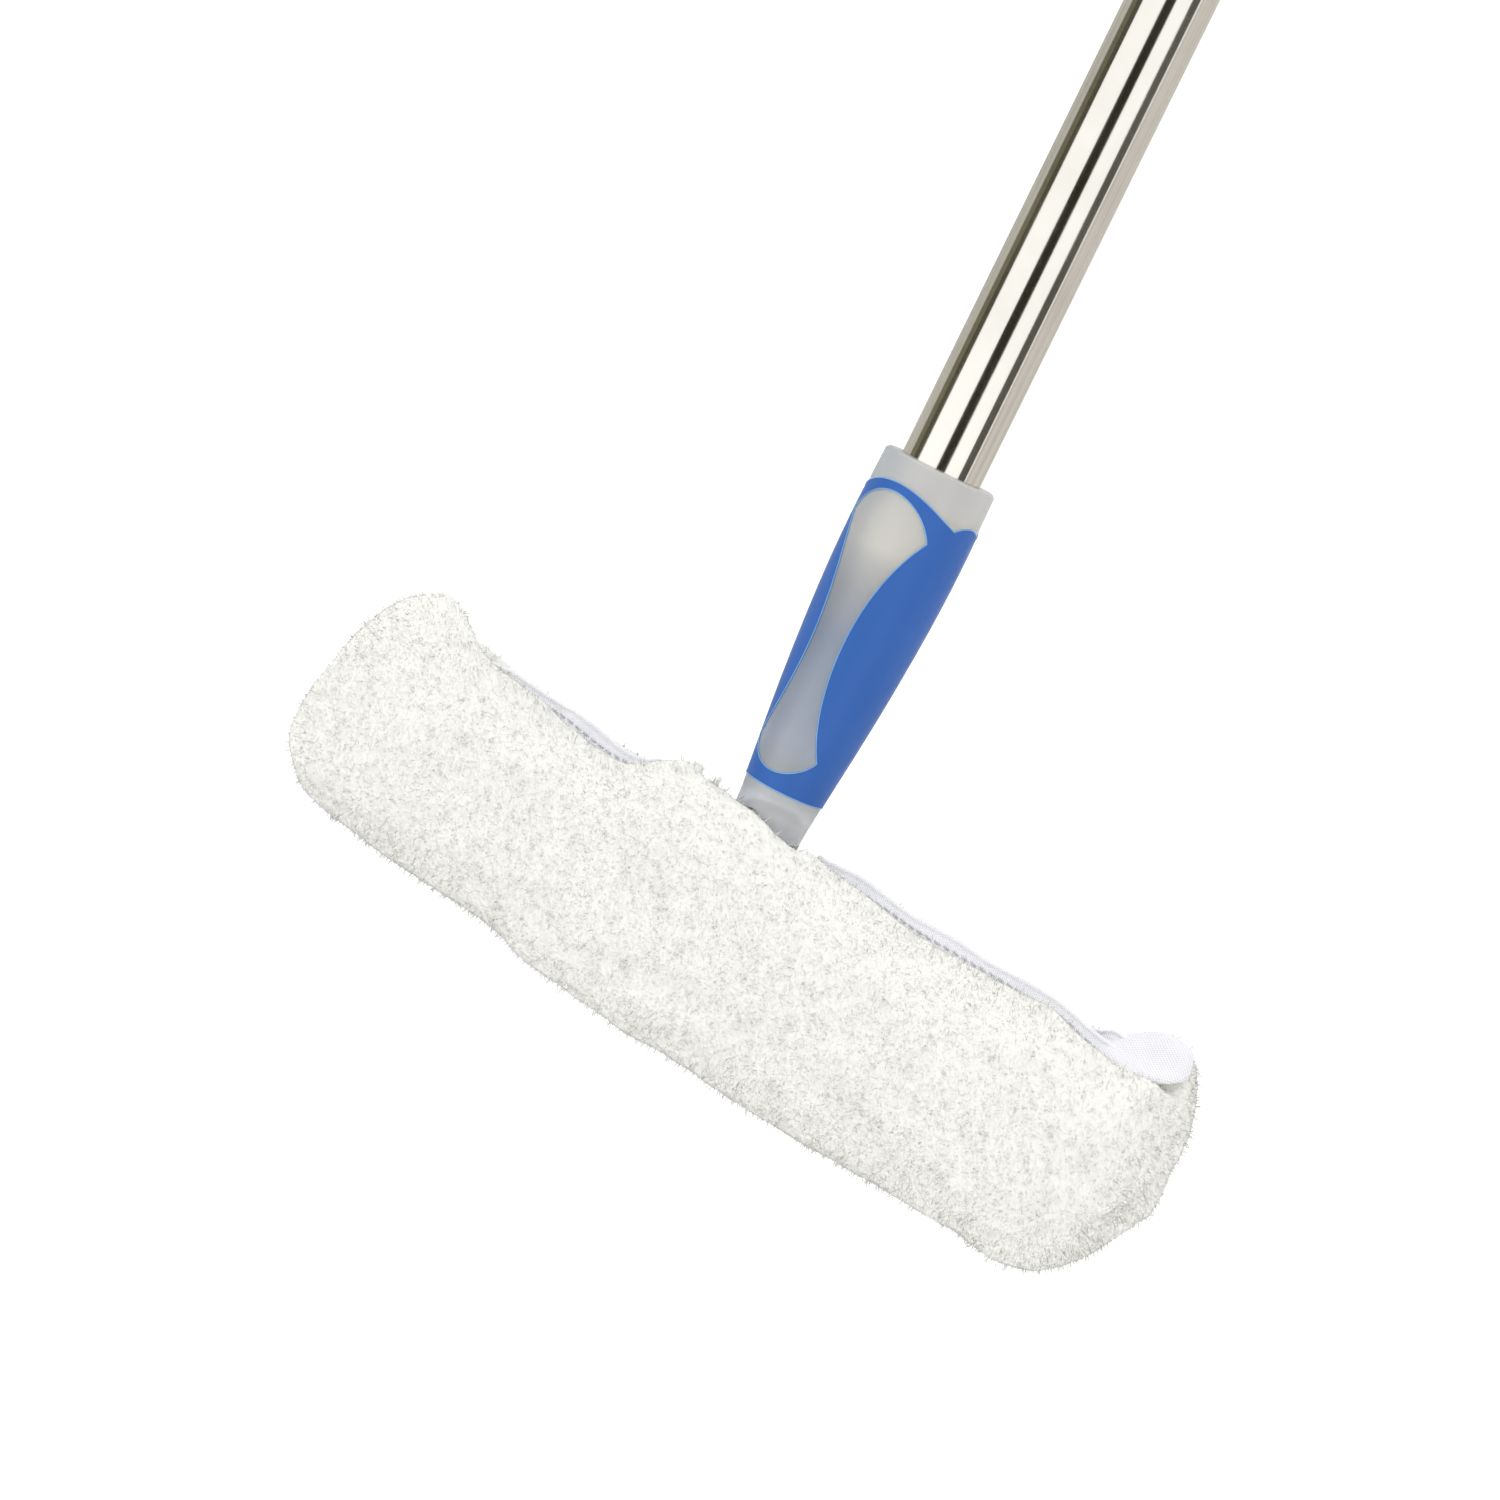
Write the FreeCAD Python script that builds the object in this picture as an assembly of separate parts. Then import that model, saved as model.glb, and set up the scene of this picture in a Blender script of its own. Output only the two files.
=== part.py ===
import FreeCAD, Part
import math
import os

from FreeCAD import Vector

# A washing mop for glass and walls: a plush sleeve on a swivelling T-bar, a tapered two-colour grip,
# and a two-section stainless pole that hangs from the eye in its end cap.
# The origin is the centre of the hanging eye. +Z runs up the pole, the head lies along X, and the
# head's front faces -Y. All sizes are in millimetres.

# Pole
LOWER_TUBE_R = 12.5
UPPER_TUBE_R = 14.0
TUBE_WALL = 0.6
LOWER_TUBE_LENGTH = 480.0
UPPER_TUBE_LENGTH = 460.0
TUBE_IN_GRIP = 28.5
TUBE_SEAT_GAP = 0.08
TUBE_SHOWING = 190.0
RUNNING_GAP = 0.06

# Hanging eye and end cap
EYE_R = 5.0
EYE_TAB_R = 12.0
EYE_TAB_THICK = 8.0
CAP_TOP = -18.0
CAP_FLANGE = 6.0
CAP_PLUG = 22.0

# Twist lock between the two tubes
LOCK_BASE_R = 15.6
LOCK_SHOULDER = 6.0
LOCK_FINGERS = 24.0
LOCK_COLLAR_R = 19.5
LOCK_COLLAR_ABOVE = 22.0
LOCK_COLLAR_BELOW = 38.0
LOCK_MOUTH_R = 12.9
LOCK_FLUTES = 16

# Lower grip, measured down from its collar
GRIP_PROFILE = [(12, 17.45), (36, 17.4), (57, 16.3), (80, 14.4), (103, 12.0), (114, 11.0)]
GRIP_COLLAR_R = 17.2
GRIP_SKIN = 1.2
GRIP_PROUD = 0.2
NECK_EAR_R = 11.0
CAVITY_TOP_R = 11.2
CAVITY_LOW_R = 7.6
CAVITY_DEPTH = 98.0
RIVET_DEPTH = 4.2
RIVET_R = 1.6
RIVET_HEAD_R = 2.7
RIVET_SEAT = 1.1
RIVET_INNER_END = 8.0

# Upper grip, measured down from its top
HAND_GRIP_LENGTH = 118.0
HAND_GRIP_PROFILE = [(6, 17.6), (30, 17.2), (59, 16.5), (88, 17.0), (112, 17.6)]

# Swivel
PIVOT_DEPTH = 114.0
PIVOT_PIN_R = 2.5
PIVOT_HEAD_R = 4.0
PIVOT_RUNNING_GAP = 0.05
TONGUE_R = 6.9
TONGUE_THICK = 8.0
TONGUE_SIDE_GAP = 0.1
TONGUE_TOP_GAP = 0.3
SWIVEL_LIMIT = 40.0

# T-bar
BAR_LENGTH = 278.0
BAR_WIDTH = 20.0
BAR_HEIGHT = 42.0
BAR_CORNER = 6.0
BAR_WALL = 2.2
BAR_DROP = 11.7
BAR_RIBS = 5
BAR_HOLE_LENGTH = 15.0
BAR_HOLE_R = 3.5
BAR_HOLE_COLUMNS = 10
BAR_END_CAP = 3.0

# Sleeve
SLEEVE_LENGTH = 308.0
SLEEVE_THICK = 46.0
SLEEVE_ABOVE_PIVOT = 2.0
SLEEVE_BELOW_PIVOT = 72.0
SLEEVE_CORNER = 19.0
SLEEVE_END_CORNER = 11.0
SLEEVE_EASE = 0.3
BACKING_THICK = 1.2
SLOT_HALF_LENGTH = 20.5
SLOT_HALF_WIDTH = 12.0
TROUGH_HALF_WIDTH = 8.0
TROUGH_HALF_LENGTH = 141.0
TAPE_HALF_WIDTH = 7.5
TAPE_THICK = 1.8
TAPE_START = 22.0
TAPE_END = 137.0
BINDING_THICK = 1.6
BINDING_PROUD = 0.8

# Heights that follow from the sizes above
UPPER_TOP = CAP_TOP - CAP_FLANGE
UPPER_END = UPPER_TOP - UPPER_TUBE_LENGTH
COLLAR_END = UPPER_END - LOCK_COLLAR_BELOW
GRIP_TOP = COLLAR_END - TUBE_SHOWING
LOWER_END = GRIP_TOP - TUBE_IN_GRIP
LOWER_TOP = LOWER_END + LOWER_TUBE_LENGTH
PIVOT_Z = GRIP_TOP - PIVOT_DEPTH
BAR_TOP = PIVOT_Z - BAR_DROP
BAR_MIDDLE = BAR_TOP - BAR_HEIGHT / 2
BACKING_TOP = BAR_TOP + SLEEVE_EASE + BACKING_THICK
SLEEVE_TOP = PIVOT_Z + SLEEVE_ABOVE_PIVOT
SLEEVE_BOTTOM = PIVOT_Z - SLEEVE_BELOW_PIVOT
LOWER_BORE_R = LOWER_TUBE_R - TUBE_WALL
UPPER_BORE_R = UPPER_TUBE_R - TUBE_WALL

REACH = 60.0  # further out than any cross-section, for cutting tools


def turned(outline):
    """A solid of revolution about Z from a closed outline of (radius, height) points."""
    points = [Vector(r, 0, z) for r, z in outline]
    face = Part.Face(Part.makePolygon(points + points[:1]))
    return face.revolve(Vector(0, 0, 0), Vector(0, 0, 1), 360)


def ring(outer_r, inner_r, low, high):
    return turned([(inner_r, low), (outer_r, low), (outer_r, high), (inner_r, high)])


def cross_pin(radius, y_low, y_high, z, x=0.0):
    """A round pin along Y."""
    return Part.makeCylinder(radius, y_high - y_low, Vector(x, y_low, z), Vector(0, 1, 0))


def block(x_low, x_high, y_low, y_high, z_low, z_high):
    size = (x_high - x_low, y_high - y_low, z_high - z_low)
    return Part.makeBox(*size, Vector(x_low, y_low, z_low))


def mirrored_pair(shape):
    """The shape and its mirror image across the YZ plane."""
    return [shape, shape.mirror(Vector(0, 0, 0), Vector(1, 0, 0))]


def arc_edge(start, middle, end):
    return Part.Arc(Vector(*start), Vector(*middle), Vector(*end)).toShape()


def line_edge(start, end):
    return Part.makeLine(Vector(*start), Vector(*end))


def prism(edges, sweep):
    return Part.Face(Part.Wire(edges)).extrude(Vector(*sweep))


def rounded_bar(length, width, height, middle_z, corner):
    """A bar along X, centred on the pole, with its four long edges rounded."""
    size = (length, width, height)
    bar = Part.makeBox(*size, Vector(-length / 2, -width / 2, middle_z - height / 2))
    long_edges = [e for e in bar.Edges if abs(e.tangentAt(e.FirstParameter).x) > 0.99]
    return bar.makeFillet(corner, long_edges)


def soft_block(length, width, low, high, corner, end_corner):
    """A cushion-like block along X with round long edges and softened ends."""
    bar = rounded_bar(length, width, high - low, (low + high) / 2, corner)
    end_edges = [e for e in bar.Edges if abs(abs(e.CenterOfMass.x) - length / 2) < 0.01]
    return bar.makeFillet(end_corner, end_edges)


def grip_blank(profile, top, end_depth, collar_r, offset):
    """A grip's turned outer shape, moved outward by offset: a smooth curve between two flat ends."""
    first, last = profile[0], profile[-1]
    curve = Part.BSplineCurve()
    curve.interpolate([Vector(r + offset, 0, top - depth) for depth, r in profile])
    rim = [
        Vector(first[1] + offset, 0, top - first[0]),
        Vector(collar_r + offset, 0, top - 0.8),
        Vector(collar_r + offset - 0.8, 0, top),
        Vector(0, 0, top),
        Vector(0, 0, top - end_depth),
        Vector(last[1] + offset, 0, top - end_depth),
        Vector(last[1] + offset, 0, top - last[0]),
    ]
    if end_depth == last[0]:
        rim.pop()
    edges = [Part.makeLine(a, b) for a, b in zip(rim, rim[1:])]
    face = Part.Face(Part.Wire(Part.__sortEdges__(edges + [curve.toShape()])))
    return face.revolve(Vector(0, 0, 0), Vector(0, 0, 1), 360)


def window_prism(top, arch, cusp, waist, low_cusp, low_arch):
    """The hourglass window, cut through front and back. Each argument after top is (half width, depth)."""

    def at(side, point):
        return (side * point[0], -REACH, top - point[1])

    edges = [
        arc_edge(at(-1, cusp), at(1, arch), at(1, cusp)),
        arc_edge(at(1, cusp), at(1, waist), at(1, low_cusp)),
        arc_edge(at(1, low_cusp), at(1, low_arch), at(-1, low_cusp)),
        arc_edge(at(-1, low_cusp), at(-1, waist), at(-1, cusp)),
    ]
    return prism(edges, (0, 2 * REACH, 0))


def below_arch(top, low, crown, corner, across_x):
    """Everything under an arched edge, as a prism. crown and corner are (half width, depth) points."""

    def at(side, point):
        across = side * point[0]
        return (across, -REACH, top - point[1]) if across_x else (-REACH, across, top - point[1])

    foot = (corner[0], top - low)
    edges = [
        arc_edge(at(-1, corner), at(1, crown), at(1, corner)),
        line_edge(at(1, corner), at(1, foot)),
        line_edge(at(1, foot), at(-1, foot)),
        line_edge(at(-1, foot), at(-1, corner)),
    ]
    return prism(edges, (0, 2 * REACH, 0) if across_x else (2 * REACH, 0, 0))


def coloured_skin(profile, top, end_depth, collar_r, low_depth, window):
    """The coloured outer skin of a grip: arched over each window, humped at each side, with windows."""
    outside = grip_blank(profile, top, end_depth, collar_r, GRIP_PROUD)
    inside = grip_blank(profile, top, end_depth, collar_r, -GRIP_SKIN)
    arched = below_arch(top, top - low_depth, (0, 7.9), (18.5, 15.5), True)
    humped = below_arch(top, top - low_depth, (0, 11.3), (6.25, 13.4), False)
    region = arched.fuse(humped).cut(window)
    return outside.cut(inside).common(region).removeSplitter()


def end_cap():
    plug = ring(UPPER_BORE_R, UPPER_BORE_R - 2.4, UPPER_TOP - CAP_PLUG, UPPER_TOP)
    flange_r = HAND_GRIP_PROFILE[0][1]
    dome = turned(
        [
            (0, UPPER_TOP),
            (flange_r, UPPER_TOP),
            (flange_r, CAP_TOP - 2.5),
            (flange_r - 1.5, CAP_TOP - 0.6),
            (flange_r - 4.0, CAP_TOP + 0.6),
            (0, CAP_TOP + 1.6),
        ]
    )
    half = EYE_TAB_THICK / 2
    tab = cross_pin(EYE_TAB_R, -half, half, 0)
    tab = tab.fuse(block(-EYE_TAB_R, EYE_TAB_R, -half, half, CAP_TOP - 1, 0))
    faces_rim = [e for e in tab.Edges if abs(abs(e.CenterOfMass.y) - half) < 0.01]
    tab = tab.makeFillet(1.2, [e for e in faces_rim if e.CenterOfMass.z > CAP_TOP + 2])
    eye = cross_pin(EYE_R, -half - 1, half + 1, 0)
    return plug.fuse([dome, tab]).cut(eye).removeSplitter()


def upper_tube():
    return ring(UPPER_TUBE_R, UPPER_BORE_R, UPPER_END, UPPER_TOP)


def hand_grip():
    """The core and the coloured skin of the upper grip."""
    window = window_prism(UPPER_TOP, (0, 14.5), (12.6, 24), (5.4, 60), (12.6, 96), (0, 105.5))
    size = (HAND_GRIP_PROFILE, UPPER_TOP, HAND_GRIP_LENGTH, HAND_GRIP_PROFILE[0][1])
    skin = coloured_skin(*size, 109.0, window)
    bore = ring(UPPER_TUBE_R + TUBE_SEAT_GAP, 0, UPPER_TOP - HAND_GRIP_LENGTH - 1, UPPER_TOP + 1)
    core = grip_blank(*size, 0).cut(bore).cut(skin)
    return core, skin


def lock_base():
    """The bush on the end of the upper tube, with split fingers that close on the lower tube."""
    clear_r = LOWER_TUBE_R + RUNNING_GAP
    finger_top = UPPER_END - LOCK_SHOULDER
    finger_end = finger_top - LOCK_FINGERS
    bush = turned(
        [
            (UPPER_TUBE_R, UPPER_END),
            (UPPER_TUBE_R, UPPER_END + LOCK_COLLAR_ABOVE + 4),
            (LOCK_BASE_R + 2, UPPER_END + LOCK_COLLAR_ABOVE + 4),
            (LOCK_BASE_R + 2, UPPER_END + LOCK_COLLAR_ABOVE + 0.3),
            (LOCK_BASE_R, UPPER_END + LOCK_COLLAR_ABOVE + 0.3),
            (LOCK_BASE_R, finger_top),
            (15.0, finger_top),
            (15.0, finger_end + 4),
            (14.2, finger_end + 4),
            (14.2, finger_end + 2),
            (15.0, finger_end + 2),
            (14.4, finger_end),
            (clear_r, finger_end),
            (clear_r, UPPER_END),
        ]
    )
    slits = [block(-REACH, REACH, -0.8, 0.8, finger_end - 1, finger_top - 2)]
    slits.append(slits[0].copy())
    slits[1].rotate(Vector(0, 0, 0), Vector(0, 0, 1), 90)
    return bush.cut(slits)


def lock_clip():
    """The split ring in the fingers' groove that keeps the collar on."""
    low = UPPER_END - LOCK_SHOULDER - LOCK_FINGERS + 2.2
    clip = ring(15.9, 14.2, low, low + 1.6)
    return clip.cut(block(0, REACH, -2, 2, low - 1, low + 3))


def lock_collar():
    top = UPPER_END + LOCK_COLLAR_ABOVE
    lip_top = COLLAR_END + 7
    ring_top = UPPER_END - LOCK_SHOULDER - 2
    collar = turned(
        [
            (LOCK_BASE_R + RUNNING_GAP, top),
            (LOCK_COLLAR_R - 1.5, top),
            (LOCK_COLLAR_R, top - 1.5),
            (LOCK_COLLAR_R, UPPER_END - 14),
            (LOCK_COLLAR_R - 2.5, COLLAR_END + 1.5),
            (LOCK_COLLAR_R - 4.0, COLLAR_END),
            (LOCK_MOUTH_R, COLLAR_END),
            (LOCK_MOUTH_R, COLLAR_END + 2),
            (14.2, COLLAR_END + 2),
            (14.2, COLLAR_END + 5),
            (LOCK_MOUTH_R, COLLAR_END + 5),
            (LOCK_MOUTH_R, lip_top),
            (16.5, lip_top),
            (16.5, ring_top),
            (LOCK_BASE_R + RUNNING_GAP, ring_top),
        ]
    )
    flute = Part.makeCylinder(2.2, 40, Vector(LOCK_COLLAR_R + 1.4, 0, UPPER_END - 24))
    flutes = []
    for i in range(LOCK_FLUTES):
        turned_flute = flute.copy()
        turned_flute.rotate(Vector(0, 0, 0), Vector(0, 0, 1), i * 360 / LOCK_FLUTES)
        flutes.append(turned_flute)
    return collar.cut(flutes)


def clamp_ring():
    """The ring inside the collar that squeezes the fingers when the collar is turned."""
    top = UPPER_END - LOCK_SHOULDER - 2
    return ring(16.5, 15.0 + RUNNING_GAP, top - 12, top)


def wiper_seal():
    return ring(14.2, LOWER_TUBE_R + RUNNING_GAP, COLLAR_END + 2, COLLAR_END + 5)


def rivet(radius, start, length):
    """A round stretch of the rivet at the back of the grip's collar, from y = start outward."""
    return cross_pin(radius, start, start + length, GRIP_TOP - RIVET_DEPTH)


def rivet_hole():
    return rivet(RIVET_R, RIVET_INNER_END, 20)


def grip_rivet():
    """The rivet that holds the tube in the grip."""
    seat = GRIP_COLLAR_R - RIVET_SEAT
    head = rivet(RIVET_HEAD_R, seat, RIVET_SEAT + 0.2)
    outer_rim = [e for e in head.Edges if e.CenterOfMass.y > seat + RIVET_SEAT]
    head = head.makeFillet(0.5, outer_rim)
    return head.fuse(rivet(RIVET_R, RIVET_INNER_END, seat - RIVET_INNER_END)).removeSplitter()


def lower_tube():
    return ring(LOWER_TUBE_R, LOWER_BORE_R, LOWER_END, LOWER_TOP).cut(rivet_hole())


def guide_bush():
    """The plug in the top of the lower tube whose wide head slides in the upper tube."""
    return turned(
        [
            (8.5, LOWER_TOP - 18),
            (LOWER_BORE_R, LOWER_TOP - 18),
            (LOWER_BORE_R, LOWER_TOP),
            (UPPER_BORE_R - RUNNING_GAP, LOWER_TOP),
            (UPPER_BORE_R - RUNNING_GAP, LOWER_TOP + 11),
            (UPPER_BORE_R - 1.2, LOWER_TOP + 12),
            (8.5, LOWER_TOP + 12),
        ]
    )


def tube_end_plug():
    """The plug in the lower end of the tube, which stands on the step inside the grip."""
    return turned(
        [
            (0, LOWER_END - 1.5),
            (LOWER_TUBE_R, LOWER_END - 1.5),
            (LOWER_TUBE_R, LOWER_END),
            (LOWER_BORE_R, LOWER_END),
            (LOWER_BORE_R, GRIP_TOP - 1),
            (LOWER_BORE_R - 2.5, GRIP_TOP - 1),
            (LOWER_BORE_R - 2.5, LOWER_END + 2),
            (0, LOWER_END + 2),
        ]
    ).cut(rivet_hole())


def tongue_slot():
    """The slot between the neck's two ears: round over the tongue and flared for its swing."""
    slot_r = TONGUE_R + TONGUE_TOP_GAP
    swing = math.radians(SWIVEL_LIMIT + 2)
    along = 40.0
    half = TONGUE_THICK / 2 + TONGUE_SIDE_GAP

    def side(sign):
        x = sign * slot_r * math.cos(swing)
        z = PIVOT_Z + slot_r * math.sin(swing)
        return (x, -half, z), (x + sign * along * math.sin(swing), -half, z - along * math.cos(swing))

    (right_top, right_low), (left_top, left_low) = side(1), side(-1)
    crown = (0, -half, PIVOT_Z + slot_r)
    edges = [
        arc_edge(left_top, crown, right_top),
        line_edge(right_top, right_low),
        line_edge(right_low, left_low),
        line_edge(left_low, left_top),
    ]
    return prism(edges, (0, 2 * half, 0))


def lower_grip():
    """The core and the coloured skin of the lower grip, whose neck ends in two swivel ears."""
    window = window_prism(GRIP_TOP, (0, 10.5), (13.2, 20), (5.2, 57), (10.6, 90.2), (0, 97.6))
    end_depth = PIVOT_DEPTH + NECK_EAR_R
    size = (GRIP_PROFILE, GRIP_TOP, end_depth, GRIP_COLLAR_R)
    skin = coloured_skin(*size, 102.3, window)
    step = LOWER_END - 1.5
    cavity = turned(
        [
            (0, GRIP_TOP + 1),
            (LOWER_TUBE_R + TUBE_SEAT_GAP, GRIP_TOP + 1),
            (LOWER_TUBE_R + TUBE_SEAT_GAP, step),
            (CAVITY_TOP_R, step),
            (CAVITY_LOW_R, GRIP_TOP - CAVITY_DEPTH + 3),
            (CAVITY_LOW_R - 3, GRIP_TOP - CAVITY_DEPTH),
            (0, GRIP_TOP - CAVITY_DEPTH),
        ]
    )
    ears = cross_pin(NECK_EAR_R, -REACH, REACH, PIVOT_Z)
    ears = ears.fuse(block(-REACH, REACH, -REACH, REACH, PIVOT_Z, GRIP_TOP + 1))
    core = grip_blank(*size, 0).common(ears)
    seat_y = NECK_EAR_R - 2.4
    seats = [cross_pin(PIVOT_HEAD_R, -REACH, -seat_y, PIVOT_Z)]
    seats.append(cross_pin(PIVOT_HEAD_R, seat_y, REACH, PIVOT_Z))
    rivet_seat = rivet(RIVET_HEAD_R, GRIP_COLLAR_R - RIVET_SEAT, 20)
    pin_bore = cross_pin(PIVOT_PIN_R, -REACH, REACH, PIVOT_Z)
    core = core.cut([skin, cavity, tongue_slot(), pin_bore, rivet_hole(), rivet_seat] + seats)
    return core, skin


def pivot_pin():
    seat_y = NECK_EAR_R - 2.4
    head = cross_pin(PIVOT_HEAD_R, -seat_y - 1.5, -seat_y, PIVOT_Z)
    head = head.makeFillet(0.6, [e for e in head.Edges if abs(e.CenterOfMass.y + seat_y + 1.5) < 0.01])
    return head.fuse(cross_pin(PIVOT_PIN_R, -seat_y, seat_y + 1.6, PIVOT_Z)).removeSplitter()


def pivot_clip():
    """The push-on washer on the pin's far end."""
    seat_y = NECK_EAR_R - 2.4
    washer = cross_pin(PIVOT_HEAD_R, seat_y, seat_y + 1.0, PIVOT_Z)
    return washer.cut(cross_pin(PIVOT_PIN_R, seat_y - 1, seat_y + 2, PIVOT_Z))


def t_bar():
    """The hollow bar with water holes and ribs, and the tongue that turns on the pivot pin."""
    inner = (BAR_WIDTH - 2 * BAR_WALL, BAR_HEIGHT - 2 * BAR_WALL)
    body = rounded_bar(BAR_LENGTH, BAR_WIDTH, BAR_HEIGHT, BAR_MIDDLE, BAR_CORNER)
    hollow = rounded_bar(BAR_LENGTH + 2, *inner, BAR_MIDDLE, BAR_CORNER - BAR_WALL)
    spacing = BAR_LENGTH / (BAR_RIBS + 1)
    ribs = []
    for i in range(BAR_RIBS):
        x = spacing * (i - (BAR_RIBS - 1) / 2)
        ribs.append(block(x - 1, x + 1, -REACH, REACH, BAR_MIDDLE - REACH, BAR_MIDDLE + REACH))
    root = block(-TONGUE_R - 3, TONGUE_R + 3, -REACH, REACH, BAR_TOP - 16, BAR_TOP)
    hollow = hollow.cut(ribs + [root])
    holes = []
    pitch = BAR_LENGTH / BAR_HOLE_COLUMNS
    straight = BAR_HOLE_LENGTH / 2 - BAR_HOLE_R
    for column in range(BAR_HOLE_COLUMNS):
        x = pitch * (column - (BAR_HOLE_COLUMNS - 1) / 2)
        for z in (BAR_MIDDLE - 9, BAR_MIDDLE + 7):
            hole = block(x - straight, x + straight, -REACH, REACH, z - BAR_HOLE_R, z + BAR_HOLE_R)
            ends = [cross_pin(BAR_HOLE_R, -REACH, REACH, z, x - straight)]
            ends.append(cross_pin(BAR_HOLE_R, -REACH, REACH, z, x + straight))
            holes.append(hole.fuse(ends))
    half = TONGUE_THICK / 2
    tongue = cross_pin(TONGUE_R, -half, half, PIVOT_Z)
    tongue = tongue.fuse(block(-TONGUE_R, TONGUE_R, -half, half, BAR_TOP - 1, PIVOT_Z))
    pin_hole = cross_pin(PIVOT_PIN_R + PIVOT_RUNNING_GAP, -REACH, REACH, PIVOT_Z)
    return body.cut(hollow).cut(holes).fuse(tongue).cut(pin_hole).removeSplitter()


def bar_end_caps():
    """The snap-in cap at each end of the bar."""
    start = BAR_LENGTH / 2
    plate = rounded_bar(2 * (start + BAR_END_CAP), BAR_WIDTH, BAR_HEIGHT, BAR_MIDDLE, BAR_CORNER)
    heights = (BAR_MIDDLE - REACH, BAR_MIDDLE + REACH)
    plate = plate.common(block(start, 2 * start, -REACH, REACH, *heights))
    inner = (BAR_WIDTH - 2 * BAR_WALL, BAR_HEIGHT - 2 * BAR_WALL)
    plug = rounded_bar(2 * start, *inner, BAR_MIDDLE, BAR_CORNER - BAR_WALL)
    plug = plug.common(block(start - 9, start, -REACH, REACH, *heights))
    scoop = block(start - 9, start - 2, -5, 5, BAR_MIDDLE - 15, BAR_MIDDLE + 15)
    return mirrored_pair(plate.fuse(plug).cut(scoop).removeSplitter())


def sleeve_slot():
    """The gap in the top of the sleeve through which the neck stands and swings."""
    return block(
        -SLOT_HALF_LENGTH, SLOT_HALF_LENGTH, -SLOT_HALF_WIDTH, SLOT_HALF_WIDTH, BAR_TOP - 1, SLEEVE_TOP + 20
    )


def backing_outside():
    length = BAR_LENGTH + 2 * (BAR_END_CAP + SLEEVE_EASE + BACKING_THICK)
    grow = 2 * (SLEEVE_EASE + BACKING_THICK)
    return rounded_bar(length, BAR_WIDTH + grow, BAR_HEIGHT + grow, BAR_MIDDLE, BAR_CORNER + grow / 2)


def backing_cloth():
    """The woven bag on the bar to which the pile is fixed."""
    length = BAR_LENGTH + 2 * (BAR_END_CAP + SLEEVE_EASE)
    grow = 2 * SLEEVE_EASE
    inside = rounded_bar(length, BAR_WIDTH + grow, BAR_HEIGHT + grow, BAR_MIDDLE, BAR_CORNER + grow / 2)
    return backing_outside().cut([inside, sleeve_slot()])


def pile_cover():
    """The plush of the sleeve, with a trough along its top for the closing tapes."""
    outside = soft_block(
        SLEEVE_LENGTH, SLEEVE_THICK, SLEEVE_BOTTOM, SLEEVE_TOP, SLEEVE_CORNER, SLEEVE_END_CORNER
    )
    trough = block(
        -TROUGH_HALF_LENGTH,
        TROUGH_HALF_LENGTH,
        -TROUGH_HALF_WIDTH,
        TROUGH_HALF_WIDTH,
        BACKING_TOP,
        SLEEVE_TOP + 20,
    )
    return outside.cut([backing_outside(), trough, sleeve_slot()])


def closing_tape(layer):
    """One layer of the closure, on both sides of the neck, lying on the backing cloth."""
    low = BACKING_TOP + layer * TAPE_THICK
    tape = block(TAPE_START, TAPE_END, -TAPE_HALF_WIDTH, TAPE_HALF_WIDTH, low, low + TAPE_THICK)
    return mirrored_pair(tape)


def hem_binding():
    """The folded woven edging that stands along both sides of the closure."""
    low = BACKING_TOP + 2 * TAPE_THICK
    inner = TROUGH_HALF_WIDTH - BINDING_THICK
    strip = block(TAPE_START, TAPE_END + 2, inner, TROUGH_HALF_WIDTH, low, SLEEVE_TOP + BINDING_PROUD)
    back = mirrored_pair(strip)
    return back + [s.mirror(Vector(0, 0, 0), Vector(0, 1, 0)) for s in back]


def export(name, shape):
    """Writes one node. A list of solids becomes one group."""
    if isinstance(shape, list):
        shape = Part.Compound(shape)
    shape.exportStep(f"parts/{name}.step")


def main():
    os.makedirs("parts", exist_ok=True)
    hand_grip_core, hand_grip_skin = hand_grip()
    grip_core, grip_skin = lower_grip()
    nodes = {
        "end_cap": end_cap(),
        "upper_tube": upper_tube(),
        "hand_grip_core": hand_grip_core,
        "hand_grip_skin": hand_grip_skin,
        "lock_base": lock_base(),
        "lock_clip": lock_clip(),
        "lock_collar": lock_collar(),
        "clamp_ring": clamp_ring(),
        "wiper_seal": wiper_seal(),
        "lower_tube": lower_tube(),
        "guide_bush": guide_bush(),
        "tube_end_plug": tube_end_plug(),
        "grip_rivet": grip_rivet(),
        "grip_core": grip_core,
        "grip_skin": grip_skin,
        "pivot_pin": pivot_pin(),
        "pivot_clip": pivot_clip(),
        "t_bar": t_bar(),
        "bar_end_caps": bar_end_caps(),
        "backing_cloth": backing_cloth(),
        "pile_cover": pile_cover(),
        "loop_tape": closing_tape(0),
        "hook_tape": closing_tape(1),
        "hem_binding": hem_binding(),
    }
    for name, shape in nodes.items():
        export(name, shape)


main()
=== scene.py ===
"""How the washing mop looks: plush sleeve, woven lining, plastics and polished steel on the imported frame."""

import math

import bmesh
import bpy
import numpy as np
from mathutils import Matrix, Vector, noise


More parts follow.
